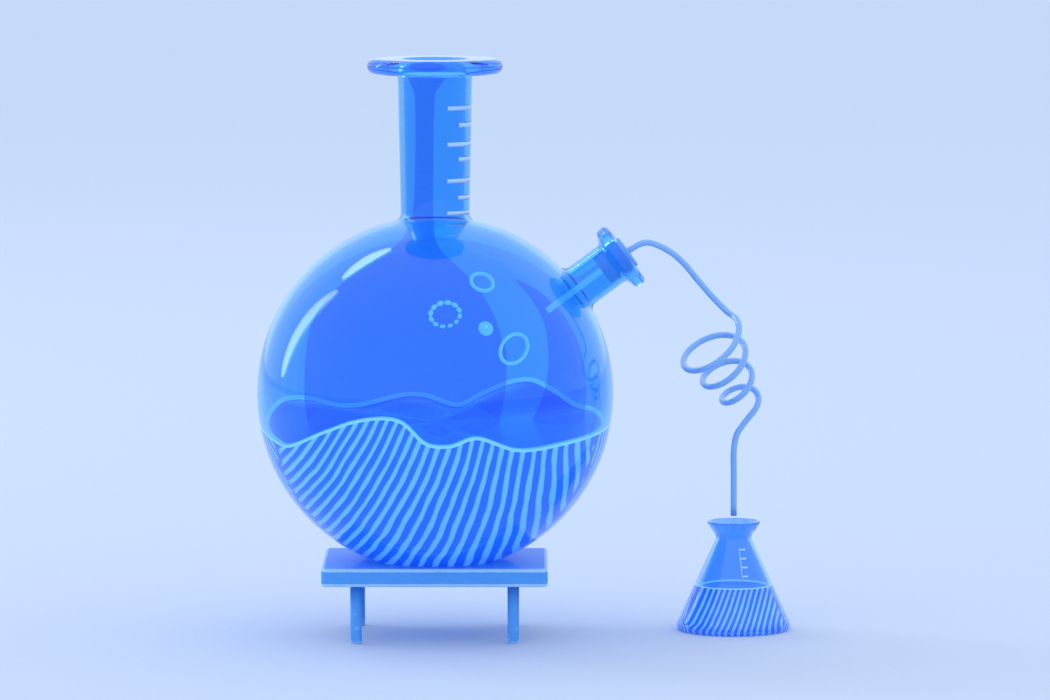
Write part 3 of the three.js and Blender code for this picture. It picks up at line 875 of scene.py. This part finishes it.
def bubble_line(bubble, share, depth, inside):
    """An oval on the bulb's inner wall: a share of the bubble's foot, raised off the wall by a depth."""
    x, height, length, breadth, tilt = bubble
    place, outwards, level, upward = on_front_wall(x, height, inside)
    spin = math.radians(tilt)
    line = []
    for turn in full_turn(BUBBLE_SEGMENTS):
        a, b = share * length / 2 * math.cos(turn), share * breadth / 2 * math.sin(turn)
        flat = level * (a * math.cos(spin) - b * math.sin(spin))
        flat += upward * (a * math.sin(spin) + b * math.cos(spin))
        on_wall = (place + flat - BULB_CENTRE).normalized() * (place - BULB_CENTRE).length
        line.append(BULB_CENTRE + on_wall - outwards * depth)
    return line


def water_film():
    """A film of water: clear and very glossy, with thin bands of colour where its thickness changes."""
    film, tree, surface = new_material("water_film", IOR=1.33, Transmission_Weight=1, Roughness=0.01)
    bands = mottled(tree, FILM_CLEAR, FILM_TINT, FILM_BAND, detail=1)
    plug(tree, surface, {"Base Color": bands})
    return film


def film_rings(bubble, depth, scale):
    """Rings of a bubble's dome, from its foot to its top, as a share of the outer dome's size."""
    rings = []
    for row in range(FILM_ROWS + 1):
        slope = math.pi / 2 * row / FILM_ROWS
        lift = depth * math.sin(slope) * scale + FILM_LIFT
        rings.append(bubble_line(bubble, math.cos(slope) * scale, lift, 0))
    return rings


def droplet(place, outwards, level, upward, radius, flatness, stretch=1):
    """A drop on the wall: a flattened ball, longer along its level line by a stretch."""
    rings = []
    for row in range(DROP_ROWS + 1):
        slope = math.pi * row / DROP_ROWS
        ring = []
        for turn in full_turn(DROP_SEGMENTS):
            flat = level * math.cos(turn) * stretch + upward * math.sin(turn)
            ring.append(place + radius * (flat * math.sin(slope) + outwards * math.cos(slope) * flatness))
        rings.append(ring)
    return skin(rings)


clear_film = water_film()
for number, bubble in enumerate(FILM_BUBBLES, 1):
    depth = bubble[3] * BUBBLE_DEPTH
    dome_rings = film_rings(bubble, depth, 1) + film_rings(bubble, depth, (depth - FILM) / depth)[::-1]
    dome = piece_from(f"bubble_film_{number}", [skin(dome_rings, loop=True)], clear_film)
    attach(dome, "flask")
    foot_rings = swept(bubble_line(bubble, 1, 0, FOOT_RADIUS), FOOT_RADIUS, FROTH_SIDES, loop=True)
    foot = piece_from(f"bubble_foot_{number}", [skin(foot_rings, loop=True)], foam)
    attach(foot, "flask")

ring_line = bubble_line(BURST_BUBBLE, 1, 0, DROPLET_INSIDE)
droplets = []
for i in range(0, BUBBLE_SEGMENTS, DROPLET_SPACING):
    place = ring_line[i]
    outwards = (place - BULB_CENTRE).normalized()
    along = (ring_line[(i + 1) % BUBBLE_SEGMENTS] - place).normalized()
    size = DROPLET_RADIUS + DROPLET_UNEVENNESS * math.sin(i * DROPLET_VARIATION)
    upward = outwards.cross(along)
    droplets.append(droplet(place, outwards, along, upward, size, DROPLET_FLATNESS, DROPLET_STRETCH))
burst = piece_from("burst_bubble_droplets", droplets, foam)
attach(burst, "flask")

drop_right, drop_height, drop_width = FROTH_DROP
drop_frame = on_front_wall(drop_right, drop_height, drop_width / 2 * FROTH_DROP_FLATNESS)
drop_shape = droplet(*drop_frame, drop_width / 2, FROTH_DROP_FLATNESS)
froth_drop = piece_from("froth_drop", [drop_shape], foam)
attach(froth_drop, "flask")


# The vapour: a dense blue plume that stands on the liquid, narrows under the neck and rises through it as a
# thin band that spreads in the mouth. A curved wisp stands apart from it on the right. Neither is glass, so
# they only tint what is seen through them. Both stand as vapour, and are painted shade that darkens the
# middle of the bulb, its neck and its right side.
VAPOUR_SEGMENTS = 96
VAPOUR_STEPS = 5
VAPOUR_LOBES = 3
VAPOUR_LOBE = 0.012
VAPOUR_TWIST = 9
VAPOUR_SHADE_TINT = "#98c2fa"
VAPOUR_SHADE_THIN = "#a6ccfc"
VAPOUR_PATCH = 30
# The plume's middle right of the bulb's axis, its radius, and the height above the bench, going up
VAPOUR_PROFILE = [(-14.4, 44, 96), (-14.4, 46.8, 112), (-14.4, 46.8, 130), (-14, 42, 150)]
VAPOUR_PROFILE += [(-12.6, 31, 165), (-11.2, 20, 174.5), (-9.2, 11.5, 181), (-7.2, 6.8, 188)]
VAPOUR_PROFILE += [(-5.6, 4.8, 199), (-5, 4.3, 220), (-4.8, 4.4, 246), (-4.6, 5.2, 255), (-4, 7.8, 259.5)]
VAPOUR_PROFILE += [(-3.5, 9, 262.5), (-3.5, 7.6, 265.5), (-3.5, 3, 267.2), (-3.5, 0, 267.5)]
# The wisp: degrees above level about the bulb's centre, and its inner and outer distance from there
WISP_PROFILE = [(-17, 47, 71), (-6, 49.5, 71), (5, 52.3, 71), (19, 56, 71), (33, 60.4, 70)]
WISP_PROFILE += [(45, 62.8, 67.6), (54, 64, 65)]
WISP_SEGMENTS = 48
WISP_STEPS = 6
WISP_DEPTH = 1.2
# It stands behind the end of the delivery tube, clear of it
WISP_BEHIND = 8


def painted_shade_vapour():
    """Vapour as painted shade: no bent light, no gloss, only a slightly uneven tint on what is behind it."""
    vapour, tree, surface = new_material("blue_vapour_painted_shade", IOR=1, Transmission_Weight=1, Roughness=0)
    clouds = mottled(tree, VAPOUR_SHADE_TINT, VAPOUR_SHADE_THIN, VAPOUR_PATCH)
    plug(tree, surface, {"Base Color": clouds})
    return vapour


vapour_rings = []
for aside, radius, height in smooth_line([Vector(point) for point in VAPOUR_PROFILE], VAPOUR_STEPS):
    ring = []
    for turn in full_turn(VAPOUR_SEGMENTS):
        reach = max(0, radius) * (1 + VAPOUR_LOBE * math.sin(VAPOUR_LOBES * turn + height / VAPOUR_TWIST))
        ring.append((FLASK_X + aside + reach * math.cos(turn), reach * math.sin(turn), height))
    vapour_rings.append(ring)
vapour_shade_blue = painted_shade_vapour()
vapour = piece_from("flask_vapour_painted_shade", [skin(vapour_rings, capped=True)], vapour_shade_blue)
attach(vapour, "flask")

wisp_rings = []
for degrees, inner, outer in smooth_line([Vector(point) for point in WISP_PROFILE], WISP_STEPS):
    outwards = Vector((math.cos(math.radians(degrees)), 0, math.sin(math.radians(degrees))))
    middle = BULB_CENTRE + outwards * (inner + outer) / 2 + ACROSS * WISP_BEHIND
    wisp_rings.append(circle(middle, (outer - inner) / 2, outwards, ACROSS * WISP_DEPTH, WISP_SEGMENTS))
wisp = piece_from("flask_wisp_painted_shade", [skin(wisp_rings, capped=True)], vapour_shade_blue)
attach(wisp, "flask")


# The side neck's stopper: moulded blue rubber, tapered, with a hole that grips the delivery tube. Inside
# the neck it is painted pale and glowing: painted light for the light that the glass keeps from it.
STOPPER_IN = 97
STOPPER_OUT = 112.2
STOPPER_TIP = 7.4
STOPPER_MIDDLE = 7.8
STOPPER_HEAD = 7.9
STOPPER_HOLE = 1.9
PAINTED_LIGHT_BELOW = 109
PAINTED_LIGHT_FADE = 0.2
RUBBER = "#5fa6f4"
RUBBER_BLOOM = "#74b4fa"
RUBBER_GRAIN = 0.8
GRAIN_DEPTH = 0.15
RUBBER_PAINTED_PALE = "#a8cffa"
RUBBER_PAINTED_GLOW = "#7fb8ff"
NO_GLOW = "#000000"


def moulded_rubber():
    """Moulded rubber: a soft matt sheen and the mould's fine grain, painted pale and glowing where marked.
    """
    rubber, tree, surface = new_material(
        "moulded_blue_rubber", Roughness=0.6, IOR=1.52, Sheen_Weight=0.2, Emission_Strength=0.24
    )
    place = add_node(tree, "ShaderNodeTexCoord")["Object"]
    # the mould's grain is finer than this in fact, and would not show
    pattern = {"Vector": place, "Scale": 1 / (RUBBER_GRAIN * MM), "Detail": 3}
    grain = add_node(tree, "ShaderNodeTexNoise", pattern)["Fac"]
    tones = {"Factor": grain, "A": linear(RUBBER), "B": linear(RUBBER_BLOOM)}
    colour = add_node(tree, "ShaderNodeMix", tones, data_type="RGBA")["Result"]
    inside = add_node(tree, "ShaderNodeAttribute", attribute_name="bleached")["Fac"]
    tones = {"Factor": inside, "A": colour, "B": linear(RUBBER_PAINTED_PALE)}
    painted_pale_colour = add_node(tree, "ShaderNodeMix", tones, data_type="RGBA")["Result"]
    # painted light: inside the neck the stopper glows, for the light that the glass keeps from it
    tones = {"Factor": inside, "A": linear(NO_GLOW), "B": linear(RUBBER_PAINTED_GLOW)}
    painted_glow_colour = add_node(tree, "ShaderNodeMix", tones, data_type="RGBA")["Result"]
    pores = {"Strength": 0.3, "Distance": GRAIN_DEPTH * MM, "Height": grain}
    relief = add_node(tree, "ShaderNodeBump", pores)["Normal"]
    plug(tree, surface, {"Base Color": painted_pale_colour, "Emission Color": painted_glow_colour, "Normal": relief})
    return rubber


# The stopper's corners from the hole at its inner end: radius, distance along the neck, and arc
stopper_corners = [
    (STOPPER_HOLE, STOPPER_IN, 0),
    (STOPPER_TIP, STOPPER_IN, 0.6),
    (STOPPER_MIDDLE, PAINTED_LIGHT_BELOW - PAINTED_LIGHT_FADE, 0),
    (STOPPER_HEAD, STOPPER_OUT, 0.7),
    (STOPPER_HOLE, STOPPER_OUT, 0),
]
stopper_profile = rounded(stopper_corners)
# it is small, and every other point of a neck's ring is enough for it
stopper_rings = [neck_ring(SIDE, UP, radius, height)[::2] for radius, height in stopper_profile]
# the points inside the neck are marked for the painted pale colour and glow
bleached = [1 if height < PAINTED_LIGHT_BELOW else 0 for _, height in stopper_profile for _ in stopper_rings[0]]
stopper_shape = skin(stopper_rings, loop=True)
stopper = piece_from("side_neck_rubber_stopper", [stopper_shape], moulded_rubber(), bleached=bleached)
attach(stopper, "tube")
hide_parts("side_neck_stopper")


# The delivery tube: thin tubing of pale blue opal glass, bent in the flame. It leaves the bulb through the
# stopper, arches over, makes three falling loops that tighten, and drops straight to the receiver's mouth.
TUBE_RADIUS = 1.5
TUBE_BORE = 0.7
TUBE_SIDES = 20
TUBE_STEPS = 5
RECEIVER_X = 98.35
RECEIVER_Y = 17
# The straight stretch, as distances along the side neck from the bulb's centre
TUBE_STRAIGHT = (65, 80, 95, 108, 113.5)
# The arch: distance right of the bulb's axis, distance behind it, and height above the bench
TUBE_ARCH = [(98.4, 0.3, 184.4), (107.5, 1.5, 181.3), (115.2, 3.5, 175.4), (122.6, 6, 166.6)]
TUBE_ARCH += [(129.6, 8, 158.4), (136.6, 6.5, 151.4)]
COIL_TURNS = 3.2
COIL_STEPS = 40
COIL_PITCH = 14.3
COIL_START_RADIUS = 17
COIL_TIGHTENING = 3.3
COIL_START = Vector((126.4, 0, 139.5))
COIL_LEAN = math.radians(59.3)
COIL_RECESSION = math.radians(30)
# The drop: distance right of the receiver's axis, distance behind it, and height above the bench
TUBE_DROP = [(5, 0.6, 98), (1.4, 0.2, 92.5), (0, 0, 85), (0, 0, 75), (0, 0, 54)]
TUBE_PALE = "#98ccff"
TUBE_DEEP = "#82bfff"
TUBE_PATCH = 5
FOG = "#e4f1ff"
FOG_AND_GLOW_REACH = 104
# The drop comes back within that reach, and only what is left of this is in the flask
FOG_AND_GLOW_LEFT_OF = 60


def coil_point(turn):
    """A place on the tapering coil, whose axis falls to the right and away from the viewer."""
    down = Vector((math.cos(COIL_LEAN), 0, -math.sin(COIL_LEAN)))
    across = Vector((math.sin(COIL_LEAN), 0, math.cos(COIL_LEAN)))
    axis = down * math.cos(COIL_RECESSION) + ACROSS * math.sin(COIL_RECESSION)
    rear = ACROSS * math.cos(COIL_RECESSION) - down * math.sin(COIL_RECESSION)
    radius = COIL_START_RADIUS - COIL_TIGHTENING * turn
    angle = 2 * math.pi * turn
    from_axis = radius * (across * math.cos(angle) - rear * math.sin(angle))
    return COIL_START + axis * COIL_PITCH * turn + from_axis


def drawn_tubing():
    """Opal glass drawn to a thin tube: pale blue, glossy, and foggy white with a painted glow where vapour
    meets it.
    """
    tubing, tree, surface = new_material(
        "drawn_opal_glass", IOR=1.47, Roughness=0.08, Transmission_Weight=0.25, Coat_Weight=0.6,
        Emission_Strength=0.4,
    )
    opal = mottled(tree, TUBE_PALE, TUBE_DEEP, TUBE_PATCH)
    inside = add_node(tree, "ShaderNodeAttribute", attribute_name="fogged")["Fac"]
    tones = {"Factor": inside, "A": opal, "B": linear(FOG)}
    colour = add_node(tree, "ShaderNodeMix", tones, data_type="RGBA")["Result"]
    # painted light: the tube glows where the fog is, for the light that the glass keeps from it
    tones = {"Factor": inside, "A": linear(NO_GLOW), "B": linear(FROTH_PAINTED_GLOW)}
    glow = add_node(tree, "ShaderNodeMix", tones, data_type="RGBA")["Result"]
    plug(tree, surface, {"Base Color": colour, "Emission Color": glow})
    return tubing


straight = [SIDE * reach + UP * BULB_CENTRE.z for reach in TUBE_STRAIGHT]
arch = [Vector(point) for point in TUBE_ARCH]
coil = [coil_point(COIL_TURNS * step / COIL_STEPS) for step in range(COIL_STEPS + 1)]
drop_x = RECEIVER_X - FLASK_X
drop = [Vector((drop_x + aside, RECEIVER_Y + behind, height)) for aside, behind, height in TUBE_DROP]
tube_line = smooth_line([*straight, *arch, *coil, *drop], TUBE_STEPS)
tube_line = [point + Vector((FLASK_X, 0, 0)) for point in tube_line]

tube_rings = swept(tube_line, TUBE_RADIUS, TUBE_SIDES)
bore_rings = swept(tube_line, TUBE_BORE, TUBE_SIDES)
# both ends open into the bore, which is closed a short way in
tube_rings = [bore_rings[1], bore_rings[0], *tube_rings, bore_rings[-1], bore_rings[-2]]
# the stretch inside the flask is marked for fog and for the painted glow
fogged = []
for ring in tube_rings:
    within_reach = (ring[0] - BULB_CENTRE).dot(SIDE) < FOG_AND_GLOW_REACH
    fogged += [1 if within_reach and ring[0].x < FOG_AND_GLOW_LEFT_OF else 0] * TUBE_SIDES
tube_shape = skin(tube_rings, capped=True)
tube = piece_from("delivery_tube_bent_glass", [tube_shape], drawn_tubing(), fogged=fogged)
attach(tube, "tube")
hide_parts("delivery_tube")


# The receiver: a small conical flask of a like but paler blue glass, blown in a mould, with a flared mouth
# and a heavy rounded heel.
RECEIVER_AT = (RECEIVER_X, RECEIVER_Y)
RECEIVER_BASE = 27
RECEIVER_HEEL = 2.6
RECEIVER_NECK = 8
RECEIVER_NECK_HEIGHT = 44
RECEIVER_RIM = 13
RECEIVER_TOP = 51.5
RECEIVER_WALL = 1.4
RECEIVER_FLOOR = 2
RECEIVER_SEGMENTS = 128
RECEIVER_BLUE = "#9cd0ff"
RECEIVER_BLUE_DEEP = "#8ec8ff"


def cone_radius(height, depth=0):
    """The receiver's radius at a height, on the glass or a depth inside it."""
    taper = (RECEIVER_BASE - RECEIVER_NECK) / (RECEIVER_NECK_HEIGHT - RECEIVER_HEEL)
    return RECEIVER_BASE - taper * (height - RECEIVER_HEEL) - depth * math.hypot(1, taper)


# The receiver's corners from under its foot, over the rim and down inside: radius, height, and arc
receiver_corners = [
    (0, 0, 0),
    (cone_radius(0), 0, RECEIVER_HEEL),
    (RECEIVER_NECK, RECEIVER_NECK_HEIGHT, 2.5),
    (RECEIVER_RIM, RECEIVER_TOP, 0.65),
    (RECEIVER_RIM - RECEIVER_WALL, RECEIVER_TOP, 0.6),
    (cone_radius(RECEIVER_NECK_HEIGHT, RECEIVER_WALL), RECEIVER_NECK_HEIGHT, 3),
    (cone_radius(RECEIVER_FLOOR, RECEIVER_WALL), RECEIVER_FLOOR, RECEIVER_HEEL),
    (0, RECEIVER_FLOOR, 0),
]
receiver_rings = turned(rounded(receiver_corners), RECEIVER_AT, RECEIVER_SEGMENTS)
receiver_blue = blown_glass("blown_receiver_glass", RECEIVER_BLUE, RECEIVER_BLUE_DEEP)
receiver = piece_from("receiver_conical_glass", [skin(receiver_rings)], receiver_blue)
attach(receiver, "receiver")
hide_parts("receiver_glass")


# The receiver's scale: four short marks and an upright line beside them, printed in the same ceramic enamel
# and fired.
SCALE_WIDTH = 0.8
# Where the marks start, in degrees round from the receiver's right
SCALE_START = -76
# Each mark's height and its length in degrees
SCALE_MARKS = [(27, 10), (31, 12), (35, 14), (39, 16)]
SCALE_LINE_HEIGHT = 33
SCALE_LINE_LENGTH = 14

scale_marks = []
for height, reach in SCALE_MARKS:
    end = SCALE_START + reach
    scale_marks.append(enamel_mark(cone_radius, height, SCALE_START, end, SCALE_WIDTH, RECEIVER_AT))
line_start = SCALE_START - MARK_STEP
scale_marks.append(
    enamel_mark(cone_radius, SCALE_LINE_HEIGHT, line_start, SCALE_START, SCALE_LINE_LENGTH, RECEIVER_AT)
)
receiver_scale = piece_from("receiver_scale_marks", scale_marks, enamel)
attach(receiver_scale, "receiver")


# The distillate in the receiver: the same blue, calm, with a low meniscus and a thin line of foam that the
# drip has left round its edge.
DISTILLATE_LEVEL = 20.9
DISTILLATE_DIP = 0.8
# The meniscus: distance from the glass, and how far the surface has fallen there
DISTILLATE_MENISCUS = [(0.7, 0.5), (2, DISTILLATE_DIP)]
DISTILLATE_FROTH = 0.45
DISTILLATE_FROTH_STEPS = 96
DISTILLATE_SPACING = 2.6
DISTILLATE_BREAKS = 6
DISTILLATE_MIDDLE = 12
# The corners from the middle of the bottom, up the wall and in over the surface: radius, height, and arc
distillate_corners = [
    (0, RECEIVER_FLOOR - WETTING, 0),
    (cone_radius(RECEIVER_FLOOR, RECEIVER_WALL - WETTING), RECEIVER_FLOOR - WETTING, RECEIVER_HEEL),
    (cone_radius(DISTILLATE_LEVEL, RECEIVER_WALL - WETTING), DISTILLATE_LEVEL, 0),
]
for inset, fall in DISTILLATE_MENISCUS:
    width = cone_radius(DISTILLATE_LEVEL, RECEIVER_WALL) - inset
    distillate_corners.append((width, DISTILLATE_LEVEL - fall, 0))
distillate_corners.append((0, DISTILLATE_LEVEL - DISTILLATE_DIP, 0))
distillate_rings = turned(rounded(distillate_corners), RECEIVER_AT, RECEIVER_SEGMENTS)
# the surface's rings inside the edge are clear of streaks
clear_rings = len(DISTILLATE_MENISCUS) + 1
streaked_rings = len(distillate_rings) - clear_rings
streaked = [1] * streaked_rings * RECEIVER_SEGMENTS + [0] * clear_rings * RECEIVER_SEGMENTS
calm_blue = streaked_liquid(
    "blue_distillate", (*RECEIVER_AT, DISTILLATE_MIDDLE), DISTILLATE_SPACING, DISTILLATE_BREAKS
)
distillate = piece_from("receiver_distillate", [skin(distillate_rings)], calm_blue, streaked=streaked)
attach(distillate, "receiver")
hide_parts("receiver_liquid")

edge_radius = cone_radius(DISTILLATE_LEVEL, RECEIVER_WALL + DISTILLATE_FROTH - WETTING)
froth_circle = turned([(edge_radius, DISTILLATE_LEVEL)], RECEIVER_AT, DISTILLATE_FROTH_STEPS)[0]
froth_rings = swept([Vector(point) for point in froth_circle], DISTILLATE_FROTH, FROTH_SIDES, loop=True)
receiver_froth = piece_from("receiver_froth_line", [skin(froth_rings, loop=True)], foam)
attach(receiver_froth, "receiver")
